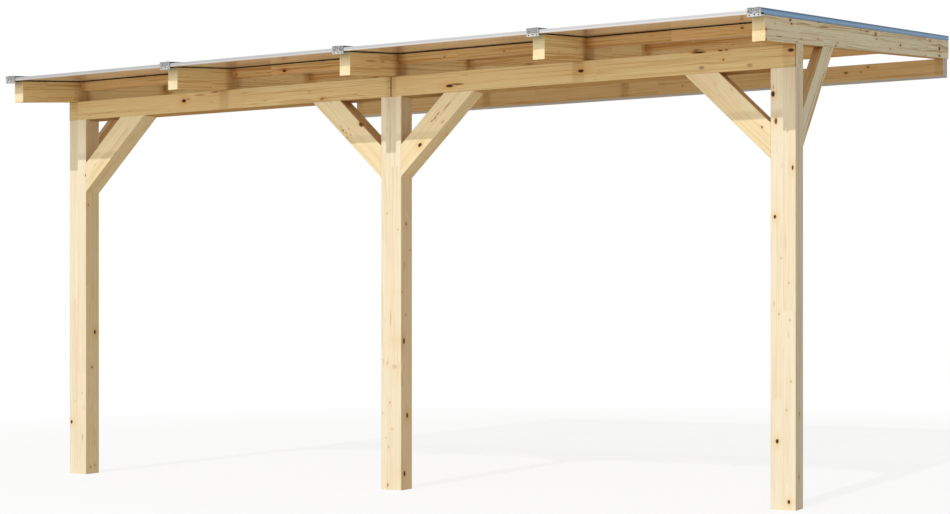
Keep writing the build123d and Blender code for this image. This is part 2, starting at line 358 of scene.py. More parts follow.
def grain_group():
    """Spruce: growth rings, finger-jointed boards, glue lines, streaks, flecks and planed fibres"""
    inputs = (
        ("Vector", "Vector"), ("Seed", "Float"), ("Lamella", "Float"), ("Lamella Shift", "Float"),
        ("Board Length", "Float"), ("Board Contrast", "Float"), ("Ring Pitch", "Float"),
        ("Ring Strength", "Float"), ("Streaks", "Float"), ("Flecks", "Float"),
        ("Wood", "Color"), ("Late Wood", "Color"), ("Blush Wood", "Color"),
    )
    outputs = (("Color", "Color"), ("Height", "Float"), ("Roughness", "Float"), ("Fleck", "Float"))
    tree, w, given, out = new_group("Spruce Grain", inputs, outputs)
    along, wide, thick = w.split(given["Vector"])
    seed = given["Seed"]
    stack = w.math("ADD", w.math("DIVIDE", thick, given["Lamella"]), given["Lamella Shift"])
    lamella = w.math("FLOOR", stack)
    fingers = w.math("MULTIPLY", w.math("PINGPONG", w.math("ADD", wide, thick), 0.002), 4.0)
    start = w.math("MULTIPLY", w.chance(lamella, seed, 3.0)[0], 9.0)
    run = w.math("ADD", w.math("DIVIDE", w.math("ADD", along, fingers), given["Board Length"]), start)
    board = w.math("FLOOR", run)
    tone = w.math("SUBTRACT", w.chance(lamella, board, seed)[0], 0.5)
    pith = w.split(w.chance(lamella, board, w.math("ADD", seed, 7.0))[1])
    shifted = w.vector("ADD", given["Vector"], w.join(seed, board, w.math("MULTIPLY", lamella, 3.0)))
    # Growth rings around a pith that lies outside most boards
    pith_wide = w.math("MULTIPLY_ADD", pith[0], 0.2, -0.1)
    pith_thick = w.math("MULTIPLY_ADD", pith[1], 0.24, -0.12)
    flat = w.join(w.math("SUBTRACT", wide, pith_wide), w.math("SUBTRACT", thick, pith_thick), 0.0)
    slow = w.stretched_noise(shifted, (1.1, 6.0, 6.0))
    wander = w.stretched_noise(shifted, (4.5, 26.0, 26.0))
    radius = w.math("ADD", w.vector("LENGTH", flat), w.math("MULTIPLY_ADD", slow, 0.05, -0.025))
    radius = w.math("ADD", radius, w.math("MULTIPLY_ADD", wander, 0.008, -0.004))
    ring = w.math("FRACT", w.math("DIVIDE", radius, given["Ring Pitch"]))
    late = w.band(ring, 0.2, 0.85, 0.9, 1.0)
    years = w.noise(w.join(w.math("MULTIPLY", radius, 110.0), w.math("MULTIPLY", along, 0.25), seed), 1.0)
    strength = w.math("MULTIPLY", given["Ring Strength"], w.fade(years, 0.3, 0.7, 0.25, 1.0))
    rings = w.math("MULTIPLY", late, strength)
    # Streaks of tone and blush that run with the grain
    broad = w.stretched_noise(shifted, (0.5, 34.0, 34.0))
    narrow = w.stretched_noise(shifted, (1.4, 150.0, 150.0))
    blush = w.stretched_noise(shifted, (0.4, 17.0, 17.0))
    fibre = w.stretched_noise(shifted, (7.0, 230.0, 230.0), 4.0)
    blushed = w.mix(1.0, given["Wood"], given["Blush Wood"], "MULTIPLY")
    tinted = w.mix(w.fade(blush, 0.42, 0.62), given["Wood"], blushed)
    streak = w.math("ADD", w.fade(broad, 0.35, 0.7, -0.5, 0.5), w.fade(narrow, 0.38, 0.66, -0.6, 0.6))
    streak = w.math("MULTIPLY", streak, given["Streaks"])
    dark = w.math("ADD", rings, streak, clamp=True)
    wood = w.mix(dark, tinted, w.mix(1.0, tinted, given["Late Wood"], "MULTIPLY"))
    light = w.math("MULTIPLY_ADD", tone, given["Board Contrast"], 1.0)
    light = w.math("ADD", light, w.math("MULTIPLY_ADD", fibre, 0.24, -0.12))
    # Glue lines between lamellas and at the finger joints
    seam = w.math("MULTIPLY", w.math("PINGPONG", stack, 0.5), given["Lamella"])
    joint = w.math("MULTIPLY", w.math("PINGPONG", run, 0.5), given["Board Length"])
    glue = w.fade(w.math("MINIMUM", seam, joint), 0.0012, 0.0004)
    glue_depth = w.math("MULTIPLY", given["Board Contrast"], 1.2)
    light = w.math("SUBTRACT", light, w.math("MULTIPLY", glue, glue_depth))
    # Small resin flecks, a few in each board
    cells = w.add("ShaderNodeTexVoronoi")
    w.feed(cells.inputs["Vector"], w.vector("MULTIPLY", shifted, (14.0, 90.0, 90.0)))
    cells.inputs["Scale"].default_value = 1.0
    pick = w.split(cells.outputs["Color"])[0]
    chosen = w.math("LESS_THAN", pick, given["Flecks"])
    fleck = w.math("MULTIPLY", chosen, w.fade(cells.outputs["Distance"], 0.34, 0.12))
    w.feed(out["Color"], w.scale(wood, light))
    w.feed(out["Height"], w.math("SUBTRACT", fibre, w.math("MULTIPLY", late, 0.4)))
    w.feed(out["Roughness"], w.math("MULTIPLY_ADD", broad, 0.24, 0.46))
    w.feed(out["Fleck"], fleck)
    return tree


def arris_group():
    """Eased edges of a sawn section: a painted highlight along its length, and darker at its ends, partly the
    end grain's own darkening and partly painted shade in the butt joint
    """
    inputs = (("Vector", "Vector"), ("Half Size", "Vector"))
    tree, w, given, out = new_group("Eased Edges", inputs, (("Mask", "Float"), ("End", "Float")))
    inset = w.split(w.vector("SUBTRACT", given["Half Size"], w.vector("ABSOLUTE", given["Vector"])))
    corner = w.math("MAXIMUM", inset[1], inset[2])
    wear = w.stretched_noise(given["Vector"], (5.0, 60.0, 60.0))
    patchy = w.math("MULTIPLY_ADD", wear, 0.004, 0.001)
    w.feed(out["Mask"], w.fade(corner, patchy, 0.0))
    near_end = w.fade(inset[0], 0.006, 0.0025)
    w.feed(out["End"], w.math("MULTIPLY", near_end, w.math("GREATER_THAN", inset[0], 0.0002)))
    return tree


def brushed_group():
    """Fine lines that an extrusion die leaves along a metal profile"""
    inputs = (("Vector", "Vector"), ("Lines", "Vector"), ("Metal", "Color"))
    outputs = (("Color", "Color"), ("Height", "Float"), ("Roughness", "Float"))
    tree, w, given, out = new_group("Extrusion Lines", inputs, outputs)
    lines = w.stretched_noise(given["Vector"], given["Lines"], 3.0)
    cloud = w.noise(given["Vector"], 6.0, 3.0)
    light = w.math("ADD", w.math("MULTIPLY_ADD", lines, 0.16, 0.86), w.math("MULTIPLY", cloud, 0.12))
    w.feed(out["Color"], w.scale(given["Metal"], light))
    w.feed(out["Height"], lines)
    w.feed(out["Roughness"], w.math("MULTIPLY_ADD", cloud, 0.2, w.math("MULTIPLY_ADD", lines, 0.16, 0.2)))
    return tree


def shared_group(make, name):
    """A node group that many materials share, made the first time it is asked for"""
    return bpy.data.node_groups.get(name) or make()


def shared_material(make, name):
    """A material that several pieces share, made the first time it is asked for"""
    return bpy.data.materials.get(name) or make(name)


def new_material(name):
    """A material with its Principled shader, ready to be wired"""
    material = bpy.data.materials.new(name)
    material.use_nodes = True
    material.node_tree.nodes.clear()
    w = Wiring(material.node_tree)
    shader = w.add("ShaderNodeBsdfPrincipled")
    end = w.add("ShaderNodeOutputMaterial")
    w.feed(end.inputs[0], shader.outputs[0])
    return material, w, shader.inputs


def finish_node(name, *materials):
    """Gives a frame node its materials, in slot order"""
    slots = nodes[name].data.materials
    slots.clear()
    for material in materials:
        slots.append(material)


def new_piece(name, mesh, material):
    """Links a new piece to the scene, rides it on the frame and names its finish"""
    data = bpy.data.meshes.new(name)
    mesh.to_mesh(data)
    mesh.free()
    data.materials.append(material)
    piece = bpy.data.objects.new(name, data)
    bpy.context.scene.collection.objects.link(piece)
    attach(piece, "root")


# Knots that show on a timber's front face, as x, z, half width and half length in millimetres, and
# darkness in percent
FRONT_KNOTS = {
    "post_left": (
        (-2135, -2197, 8, 12, 95), (-2109, -2075, 4, 6, 26), (-2056, -2028, 4, 6, 26),
        (-2056, -2283, 5, 30, 25), (-2033, -765, 4, 9, 60),
    ),
    "post_middle": (
        (-24, -1052, 4, 7, 26), (42, -1138, 4, 7, 26), (-2, -1600, 3, 55, 26), (-19, -1839, 4, 6, 26),
        (-6, -2042, 5, 8, 26), (-50, -2097, 4, 7, 26), (6, -2179, 4, 6, 26), (-30, -2226, 4, 6, 26),
        (-15, -2274, 5, 7, 26), (-19, -2473, 6, 12, 42), (22, -1853, 26, 15, 16), (-6, -660, 2, 90, 26),
        (-12, -480, 2, 50, 26),
    ),
    "post_right": (
        (2042, -562, 10, 15, 100), (2043, -528, 4, 16, 26), (2056, -689, 8, 18, 68),
        (2111, -740, 4, 7, 26), (2135, -909, 5, 13, 90), (2051, -1134, 7, 10, 100),
        (2080, -1327, 4, 7, 26), (2117, -1443, 4, 7, 26), (2070, -1587, 5, 8, 26),
        (2122, -1615, 4, 7, 26), (2127, -1900, 5, 8, 26), (2107, -2032, 4, 7, 26),
        (2062, -2179, 8, 12, 100), (2117, -2459, 7, 11, 100), (2100, -1250, 3, 60, 15),
    ),
    "front_beam_left": (
        (-1331, -379, 12, 17, 90), (-1300, -372, 4, 12, 50), (-1120, -343, 4, 30, 60),
        (-1221, -353, 5, 50, 30), (-424, -427, 12, 15, 35), (-920, -362, 4, 40, 25),
    ),
    "front_beam_right": (
        (345, -409, 9, 24, 100), (392, -404, 4, 42, 70), (1074, -385, 9, 18, 95),
        (2127, -364, 10, 18, 78), (1682, -341, 5, 40, 90), (1788, -339, 5, 14, 80),
        (1817, -339, 4, 10, 70), (1802, -385, 5, 8, 60), (1695, -415, 13, 18, 30),
        (1930, -420, 12, 20, 25),
    ),
    "wall_beam_right": (
        (1529, -1, 8, 16, 70), (1670, 27, 8, 14, 45), (1625, -2, 6, 14, 35), (640, 10, 10, 18, 60),
        (420, -10, 6, 10, 40), (1100, 4, 4, 60, 40),
    ),
    "batten_row_1": (
        (-683, -254, 9, 14, 100), (-998, -252, 6, 9, 50), (1884, -237, 8, 13, 50), (640, -250, 5, 10, 50),
        (300, -255, 5, 10, 50),
    ),
    "brace_middle_post_right": (
        (172, -703, 10, 14, 95), (260, -569, 4, 14, 50), (304, -592, 3, 14, 45), (277, -549, 3, 20, 40),
        (330, -511, 3, 40, 40), (242, -583, 3, 12, 40),
    ),
    "brace_right_post": (
        (1989, -713, 6, 9, 50),
    ),
    "brace_middle_post_left": (
        (-293, -602, 4, 7, 80), (-257, -596, 3, 6, 50), (-244, -629, 3, 10, 40), (-274, -617, 3, 10, 40),
        (-183, -577, 12, 18, 70), (-268, -640, 3, 8, 40),
    ),
}

# Knots that show on a timber's right side, as y, z and the same
SIDE_KNOTS = {
    "post_left": (
        (-3319, -1674, 10, 15, 100), (-3346, -1878, 8, 10, 50), (-3360, -2459, 5, 8, 50),
        (-3319, -2450, 5, 8, 50), (-3378, -936, 6, 10, 40),
    ),
    "post_middle": (
        (-3345, -1106, 6, 10, 80), (-3303, -1241, 4, 8, 50), (-3364, -1322, 4, 30, 30),
        (-3390, -1462, 4, 8, 50), (-3347, -1582, 5, 8, 50), (-3369, -1719, 12, 18, 100),
        (-3334, -2110, 12, 16, 100), (-3363, -2413, 12, 17, 100),
    ),
    "post_right": (
        (-3350, -2345, 6, 12, 70), (-3338, -2053, 6, 10, 70),
    ),
    # The marks at y -3858 and -275 sit at the screws, and are partly painted shade about the screw heads
    "rafter_5": (
        (-3489, -241, 8, 20, 100), (-3470, -252, 6, 16, 90), (-3270, -224, 4, 170, 35),
        (-2920, -185, 7, 120, 35), (-3010, -178, 4, 40, 60), (-3727, -294, 6, 10, 40),
        (-3666, -343, 3, 60, 50), (-3858, -341, 10, 8, 90), (-3858, -383, 9, 8, 90),
        (-3382, -325, 5, 16, 45), (-3310, -301, 5, 20, 40), (-3027, -260, 4, 25, 40),
        (-2700, -245, 8, 11, 90), (-2662, -226, 6, 12, 50), (-2212, -91, 6, 14, 60),
        (-2080, -80, 6, 60, 50), (-1890, -66, 16, 44, 45), (-1870, -84, 6, 30, 50),
        (-1560, -98, 5, 22, 60), (-1318, -44, 9, 22, 100), (-544, 96, 8, 20, 100), (-850, 60, 6, 10, 40),
        (-275, 85, 16, 34, 100), (-275, 43, 11, 30, 100),
    ),
    "rafter_3": (
        (-3660, -292, 7, 70, 30), (-3540, -280, 5, 40, 25),
    ),
}

# Share of grain marks on each kind of timber: rings, streaks, flecks and contrast between boards
GRAIN = {
    "post": (0.2, 0.3, 0.02, 0.02), "brace": (0.36, 0.48, 0.09, 0.05), "back brace": (0.9, 0.9, 0.05, 0.05),
    "beam": (0.45, 0.6, 0.05, 0.05), "rafter": (0.6, 0.62, 0.05, 0.08), "batten": (0.6, 0.85, 0.05, 0.14),
}
# Distance from one growth ring to the next, in metres
RING_PITCH = {
    "post": 0.0045, "brace": 0.005, "back brace": 0.006, "beam": 0.007, "rafter": 0.008, "batten": 0.007,
}


class Timber:
    """Where one timber lies: its own axes, its section and the boards that it is glued from"""

    def __init__(self, kind, along, wide, half_section, lamella=0.5, shift=0.5, half_length=9.0):
        thick = along.cross(wide).normalized()
        self.kind = kind
        self.turn = Matrix((along.normalized(), wide, thick)).transposed()
        self.half_size = (half_length, *half_section)
        self.lamella = lamella
        self.shift = shift

    def local(self, vector):
        """A vector of the frame, in the timber's own axes"""
        return self.turn.transposed() @ vector


def in_metres(knots):
    """The rows of a knot table, with lengths in metres and darkness as a share"""
    for *lengths, darkness in knots:
        yield (*(length / 1000 for length in lengths), darkness / 100)


def knots_of(name, timber, seed):
    """The middle of one timber, and its knots in its own axes, as place, size and darkness"""
    low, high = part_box(name)
    centre = (low + high) / 2
    found = []
    for x, z, half, length, darkness in in_metres(FRONT_KNOTS.get(name, ())):
        found.append((Vector((x, low.y, z)), DEEP, half, length, darkness))
    for y, z, half, length, darkness in in_metres(SIDE_KNOTS.get(name, ())):
        found.append((Vector((high.x, y, z)), ACROSS, half, length, darkness))
    # A few more on the faces that look away, at seeded places
    chance = random.Random(seed)
    for side in range(3):
        part = [chance.uniform(0.12, 0.88) for _ in range(3)]
        place = Vector(low[i] + part[i] * (high[i] - low[i]) for i in range(3))
        face = (DEEP, ACROSS)[side % 2]
        place += face * (((high if side % 2 == 0 else low) - place).dot(face))
        half = chance.uniform(0.005, 0.009)
        found.append((place, face, half, half * 1.4, chance.uniform(0.4, 0.9)))
    knots = []
    for place, face, half, length, darkness in found:
        axis = timber.local(face)
        size = Vector((length, half, half))
        deepest = max((1, 2), key=lambda i: abs(axis[i]))
        size[deepest] = 0.03
        knots.append((timber.local(place - centre), size, darkness))
    return centre, knots


class Wood:
    """One finish of a timber's faces: its tone, its late wood's tint and how strong its marks are"""

    def __init__(self, label, tone, late=None, marks=1.0):
        self.label = label
        self.tone = tone
        self.late = late or bpy.context.scene.pergola_timber.late_wood
        self.marks = marks


def is_outer(face):
    """Whether a face looks out at one of the two open sides"""
    outward = face.normal.x * math.copysign(1, face.center.x)
    return outward > 0.6 and abs(face.center.x) > HALF_WIDTH - SIDE_REACH


def finish_timber(name, timber, seed, woods, pick=None):
    """Gives a timber its woods, and each face the one that pick chooses for it"""
    finish_node(name, *(spruce_material(name, timber, seed, wood) for wood in woods))
    if pick:
        for face in nodes[name].data.polygons:
            face.material_index = int(pick(face))


def corner_shade(w, timber, wood):
    """Painted shade where battens and rafters meet, as a mask along either"""
    if timber.kind not in ("rafter", "batten") or wood.label != "spruce":
        return None
    across, deep, _ = w.split(w.object_place())
    if timber.kind == "batten":
        reach = w.math("PINGPONG", w.math("SUBTRACT", across, RAFTERS[0]), (RAFTERS[1] - RAFTERS[0]) / 2)
        near = w.fade(reach, *BATTEN_CORNER_SHADE)
    else:
        rows = [sum(corner.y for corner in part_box(f"batten_row_{number}")) / 2 for number in (1, 2)]
        reach = w.math("PINGPONG", w.math("SUBTRACT", deep, rows[0]), (rows[1] - rows[0]) / 2)
        near = w.fade(reach, *RAFTER_CORNER_SHADE)
    cloud = w.noise(w.join(across, deep, 0.0), 14.0, 2.0)
    return w.math("MULTIPLY", near, w.fade(cloud, 0.3, 0.65, 0.4, 0.9))


def spruce_material(name, timber, seed, wood):
    """Spruce for one timber, laid along its own axes, with its own knots"""
    look = bpy.context.scene.pergola_timber
    centre, knots = knots_of(name, timber, seed)
    rings, streaks, flecks, boards = GRAIN[timber.kind]
    material, w, shader = new_material(f"{wood.label}_{name}")
    mapping = w.add("ShaderNodeMapping", vector_type="TEXTURE")
    mapping.inputs["Location"].default_value = centre
    mapping.inputs["Rotation"].default_value = timber.turn.to_euler()
    w.feed(mapping.inputs["Vector"], w.object_place())
    vector = plain = mapping.outputs[0]
    core, surround = 0.0, 0.0
    for place, size, darkness in knots:
        knot = w.place(
            shared_group(knot_group, "Knot"), Vector=vector, Core=core, Surround=surround,
            Place=place, Size=size, Darkness=darkness,
        )
        vector, core, surround = knot["Vector"], knot["Core"], knot["Surround"]
    grain = w.place(
        shared_group(grain_group, "Spruce Grain"), Vector=vector, Seed=float(seed),
        Lamella=timber.lamella, Lamella_Shift=timber.shift, Board_Length=look.board_length,
        Board_Contrast=boards, Ring_Pitch=RING_PITCH[timber.kind], Ring_Strength=rings * wood.marks,
        Streaks=streaks * wood.marks, Flecks=flecks,
        Wood=wood.tone, Late_Wood=wood.late, Blush_Wood=look.blush_wood,
    )
    edges = w.place(shared_group(arris_group, "Eased Edges"), Vector=plain, Half_Size=timber.half_size)
    colour_now = w.mix(w.math("MULTIPLY", surround, 0.6), grain["Color"], look.resin_wood, blend="MULTIPLY")
    # Painted highlight along the eased edges
    colour_now = w.mix(w.math("MULTIPLY", edges["Mask"], 0.3), colour_now, wood.tone)
    # Painted shade where battens and rafters meet
    corner = corner_shade(w, timber, wood)
    if corner:
        colour_now = w.mix(corner, colour_now, look.corner_shade_tint, blend="MULTIPLY")
    # Darker line at the front beams' ends: partly the end grain's own darkening, partly painted shade in the
    # butt joint
    colour_now = w.mix(w.math("MULTIPLY", edges["End"], 0.9), colour_now, look.knot_rim)
    colour_now = w.mix(w.math("MULTIPLY", grain["Fleck"], 0.4), colour_now, look.knot_rim)
    colour_now = w.mix(w.fade(core, 0.0, 0.5), colour_now, look.knot_rim)
    colour_now = w.mix(w.fade(core, 0.45, 0.85), colour_now, look.knot_heart)
    w.feed(shader["Base Color"], colour_now)
    w.feed(shader["Roughness"], grain["Roughness"])
    w.feed(shader["Normal"], w.bump(grain["Height"], look.fibre_height))
    # Undersides stay dull, or the pale ground would lie on them as a film
    shader["Specular IOR Level"].default_value = 0.0 if wood.label == "under" else 0.3
    return material


class PERGOLA_OT_posts(bpy.types.Operator):
    """Posts glued from two boards, straight-grained, with small knots"""
    bl_idname = "pergola.posts"
    bl_label = "Posts"

    def execute(self, context):
        look = context.scene.pergola_timber
        woods = (
            Wood("spruce", look.post_wood, look.pale_late_wood),
            Wood("outer", look.outer_shade_wood, look.outer_shade_late_wood, 2.4),
            Wood("side", look.post_side_shade_wood, look.pale_late_wood, 1.6),
        )
        for seed, name in enumerate(("post_left", "post_middle", "post_right"), start=11):
            timber = Timber("post", UP, DEEP, (POST_HALF, POST_HALF), lamella=POST_HALF, shift=0.0)
            finish_timber(name, timber, seed, woods, self.pick)
        return {"FINISHED"}

    def pick(self, face):
        """Painted shade: sides get a yellower wood than fronts, and a greyer one at the open sides"""
        if is_outer(face):
            return 1
        return 2 if abs(face.normal.x) > FACING else 0


class PERGOLA_OT_beams(bpy.types.Operator):
    """Front and wall beams; the wall beams' ends and undersides are grey with painted shade"""
    bl_idname = "pergola.beams"
    bl_label = "Beams"

    def execute(self, context):
        look = context.scene.pergola_timber
        low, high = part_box("front_beam_right")
        section = (POST_HALF, POST_HALF)
        half_length = (high.x - low.x) / 2
        timber = Timber("beam", ACROSS, DEEP, section, lamella=0.12, half_length=half_length)
        woods = (
            Wood("spruce", look.beam_wood), Wood("outer", look.outer_shade_wood, look.outer_shade_late_wood),
            Wood("under", look.under_shade_wood),
        )
        for seed, name in enumerate(("front_beam_left", "front_beam_right"), start=21):
            finish_timber(name, timber, seed, woods, self.pick_front)
        timber = Timber("beam", ACROSS, DEEP, section, lamella=0.12)
        woods = Wood("spruce", look.wall_beam_wood), Wood("sealed", look.sealed_wood)
        for seed, name in enumerate(("wall_beam_left", "wall_beam_right"), start=25):
            finish_timber(name, timber, seed, woods, self.pick_wall)
        return {"FINISHED"}

    def pick_front(self, face):
        """Painted shade: undersides are browner, and the outer ends greyer"""
        return 2 if face.normal.z < -FACING else is_outer(face)

    def pick_wall(self, face):
        """Undersides and both ends get the grey painted shade"""
        return face.normal.z < -FACING or abs(face.normal.x) > FACING


class PERGOLA_OT_braces(bpy.types.Operator):
    """Mitred braces at the front and from the outer posts back to the end rafters"""
    bl_idname = "pergola.braces"
    bl_label = "Braces"

    def execute(self, context):
        look = context.scene.pergola_timber
        leans = {
            "brace_left_post": 1, "brace_middle_post_left": -1,
            "brace_middle_post_right": 1, "brace_right_post": -1,
        }
        # The braces' upper faces get a browner wood as painted shade
        woods = Wood("spruce", look.brace_wood, look.pale_late_wood), Wood("upper", look.brace_top_shade_wood)
        for seed, (name, side) in enumerate(leans.items(), start=31):
            along = Vector((side, 0, 1))
            timber = Timber("brace", along, DEEP, (POST_HALF, POST_HALF), lamella=POST_HALF, shift=0.0)
            finish_timber(name, timber, seed, woods, lambda face: face.normal.z > 0.5)
        timber = Timber("back brace", Vector((0, 1, 1)), ACROSS, (BACK_BRACE_HALF, POST_HALF))
        woods = (
            Wood("spruce", look.back_brace_wood),
            Wood("outer", look.outer_shade_wood, look.outer_shade_late_wood, 1.2),
        )
        for seed, name in enumerate(("back_brace_left", "back_brace_right"), start=41):
            finish_timber(name, timber, seed, woods, is_outer)
        return {"FINISHED"}


class PERGOLA_OT_rafters(bpy.types.Operator):
    """Rafters that run up the slope"""
    bl_idname = "pergola.rafters"
    bl_label = "Rafters"

    def execute(self, context):
        look = context.scene.pergola_timber
        timber = Timber("rafter", UP_SLOPE, ACROSS, (RAFTER_HALF, RAFTER_DEPTH / 2))
        woods = (
            Wood("spruce", look.rafter_wood), Wood("outer", look.outer_shade_wood, look.outer_shade_late_wood, 1.3),
            Wood("under", look.under_shade_wood), Wood("end", look.end_wood, look.pale_late_wood, 0.4),
        )
        for number in range(1, 6):
            finish_timber(f"rafter_{number}", timber, 50 + number, woods, self.pick)
        return {"FINISHED"}

    def pick(self, face):
        """Undersides, cut ends and outer faces have woods of their own; those of the undersides and outer
        faces are painted shade
        """
        if face.normal.z < -FACING:
            return 2
        return 3 if abs(face.normal.y) > FACING else is_outer(face)


class PERGOLA_OT_battens(bpy.types.Operator):
    """Cross battens between the rafters"""
    bl_idname = "pergola.battens"
    bl_label = "Battens"

    def execute(self, context):
        look = context.scene.pergola_timber
        timber = Timber("batten", ACROSS, UP_SLOPE, (BATTEN_HALF, BATTEN_DEPTH / 2))
        woods = [Wood("spruce", look.batten_wood)]
        for number in range(1, 6):
            finish_timber(f"batten_row_{number}", timber, 60 + number, woods)
        return {"FINISHED"}


def brush(w, shader, lines, tint, added_roughness):
    """Wires an extrusion's lines into a metal's roughness and relief, and returns its colour"""
    brushed = w.place(
        shared_group(brushed_group, "Extrusion Lines"), Vector=w.object_place(), Lines=lines, Metal=tint,
    )
    w.feed(shader["Roughness"], w.math("ADD", brushed["Roughness"], added_roughness))
    w.feed(shader["Normal"], w.bump(brushed["Height"], LINE_RELIEF))
    return brushed["Color"]


def height_over_rafters(w):
    """How high over the rafters' tops a surface lies, square to the roof"""
    return w.vector("DOT_PRODUCT", w.vector("SUBTRACT", w.object_place(), ROOF_AT_WALL), ROOF_NORMAL)


def metal_material(name, tint, added_roughness=0.0):
    """Aluminium with the lines of its extrusion"""
    material, w, shader = new_material(name)
    w.feed(shader["Base Color"], brush(w, shader, BAR_LINES, tint, added_roughness))
    shader["Metallic"].default_value = 1.0
    return material


def strip_material(name):
    """Channel with painted shade in a groove and a painted highlight on a lip along its face, and a warmer
    foot that is a painted reflection of the wood below
    """
    look = bpy.context.scene.pergola_roof
    material, w, shader = new_material(name)
    height = height_over_rafters(w)
    tint = brush(w, shader, STRIP_LINES, look.strip_metal, 0.1)
    tint = w.mix(w.math("MULTIPLY", w.band(height, *STRIP_GROOVE_SHADE), 0.12), tint, (0.0, 0.0, 0.0))
    tint = w.mix(w.math("MULTIPLY", w.band(height, *STRIP_LIP_HIGHLIGHT), 0.16), tint, (1.0, 1.0, 1.0))
    w.feed(shader["Base Color"], w.mix(w.fade(height, *STRIP_FOOT_REFLECTION), tint, look.strip_wood_reflection))
    shader["Metallic"].default_value = 1.0
    return material


def side_material(name):
    """Side wall painted steel-blue as a reflection of the sky, with a lighter ridge and a darker line along
    its top edge in that painted reflection
    """
    look = bpy.context.scene.pergola_roof
    material, w, shader = new_material(name)
    height = height_over_rafters(w)
    ridge = w.math("MULTIPLY", w.band(height, *SIDE_REFLECTION_RIDGE), 0.7)
    tint = w.mix(ridge, look.side_sky_reflection, look.side_reflection_ridge)
    tint = w.mix(w.fade(height, *SIDE_REFLECTION_LINE), tint, look.side_reflection_line)
    w.feed(shader["Base Color"], brush(w, shader, SIDE_LINES, tint, 0.2))
    shader["Metallic"].default_value = 0.6
    return material


def plate_material(name):
    """Duller aluminium of the plates on the bars' front ends"""
    return metal_material(name, bpy.context.scene.pergola_roof.plate_metal, 0.15)


def rubber_material(name):
    """Dark rubber with a little pale dust"""
    look = bpy.context.scene.pergola_roof
    material, w, shader = new_material(name)
    dust = w.noise(w.object_place(), 90.0, 4.0)
    w.feed(shader["Base Color"], w.mix(w.fade(dust, 0.5, 0.8, 0.0, 0.02), look.rubber, look.metal))
    w.feed(shader["Roughness"], w.math("MULTIPLY_ADD", dust, 0.2, 0.75))
    w.feed(shader["Normal"], w.bump(dust, 0.0002))
    shader["Specular IOR Level"].default_value = 0.04
    return material


def moulded_material(name, dark, pale):
    """Moulded plastic with a fine speckle"""
    material, w, shader = new_material(name)
    speckle = w.noise(w.object_place(), 210.0)
    w.feed(shader["Base Color"], w.mix(w.fade(speckle, 0.4, 0.6), dark, pale))
    w.feed(shader["Roughness"], w.math("MULTIPLY_ADD", speckle, 0.2, 0.4))
    return material


def screw_material(name):
    """Zinc-plated steel with dull specks"""
    look = bpy.context.scene.pergola_fixing
    material, w, shader = new_material(name)
    dull = w.noise(w.object_place(), 700.0, 3.0)
    w.feed(shader["Base Color"], w.mix(w.fade(dull, 0.4, 0.7), look.screw_metal, colour(40, 34, 26)))
    w.feed(shader["Roughness"], w.math("MULTIPLY_ADD", dull, 0.3, 0.35))
    shader["Metallic"].default_value = 1.0
    return material


class PERGOLA_OT_sheets(bpy.types.Operator):
    """Clear twin-wall roof sheets, see-through square on and solid-looking at a low angle"""
    bl_idname = "pergola.sheets"
    bl_label = "Roof sheets"

    def execute(self, context):
        look = context.scene.pergola_roof
        material, w, shader = new_material("clear_sheet")
        haze = w.stretched_noise(w.object_place(), (40.0, 3.0, 40.0), 3.0)
        grazing = w.add("ShaderNodeLayerWeight").outputs["Facing"]
        cover = w.math("MULTIPLY_ADD", haze, 0.08, look.sheet_cover - 0.04)
        w.feed(shader["Alpha"], w.math("MAXIMUM", cover, w.fade(grazing, 0.45, 0.92)))
        w.feed(shader["Base Color"], look.sheet_tint)
        w.feed(shader["Roughness"], w.math("MULTIPLY_ADD", haze, 0.1, 0.04))
        shader["IOR"].default_value = 1.58
        shader["Coat Weight"].default_value = 0.7
        shader["Coat Roughness"].default_value = 0.1
        shader["Coat IOR"].default_value = 1.58
        for number in range(1, 5):
            finish_node(f"roof_sheet_{number}", material)
        return {"FINISHED"}


class PERGOLA_OT_bars(bpy.types.Operator):
    """Glazing bars, edge strips, end plates and the end bars' side walls, painted steel-blue as a sky
    reflection
    """
    bl_idname = "pergola.bars"
    bl_label = "Glazing bars"

    def execute(self, context):
        look = context.scene.pergola_roof
        metal = metal_material("bar_metal", look.metal)
        lip = metal_material("bar_lip_metal", look.lip_metal, 0.2)
        side = side_material("bar_side_sky_reflection")
        for number in range(1, 6):
            name = f"glazing_bar_{number}"
            finish_node(name, metal, lip, side)
            for face in nodes[name].data.polygons:
                face.material_index = self.pick(face)
        strip = strip_material("strip_metal")
        for number in range(1, 5):
            finish_node(f"edge_strip_{number}", strip)
        finish_node("bar_end_stops", shared_material(plate_material, "plate_metal"))
        return {"FINISHED"}

    def pick(self, face):
        """Side walls are blue, and the other faces that look sideways are in the caps' shade"""
        if abs(face.center.x) > HALF_WIDTH + SIDE_WALL_OUT:
            return 2
        return int(abs(face.normal.x) > FACING)


def roof_point(x, run, height):
    """A place on the roof, by its run down the slope from the wall and its height over the rafters"""
    return ROOF_AT_WALL + ACROSS * x - UP_SLOPE * run + ROOF_NORMAL * height


def add_screw(mesh, place, normal, radius, height, sides=20):
    """A low screw head with a bevelled rim and a round recess"""
    turn = normal.to_track_quat("Z", "Y").to_matrix()
    rings = (
        (radius, 0.0), (radius, height * 0.55), (radius * 0.82, height),
        (radius * 0.5, height), (radius * 0.42, height * 0.3),
    )
    angles = [math.tau * step / sides for step in range(sides)]
    loops = []
    for size, level in rings:
        corners = [Vector((size * math.cos(angle), size * math.sin(angle), level)) for angle in angles]
        loops.append([mesh.verts.new(place + turn @ corner) for corner in corners])
    for outer, inner in zip(loops, loops[1:]):
        for step in range(sides):
            following = (step + 1) % sides
            mesh.faces.new((outer[step], outer[following], inner[following], inner[step]))
    mesh.faces.new(loops[-1])
    mesh.faces.new(list(reversed(loops[0])))


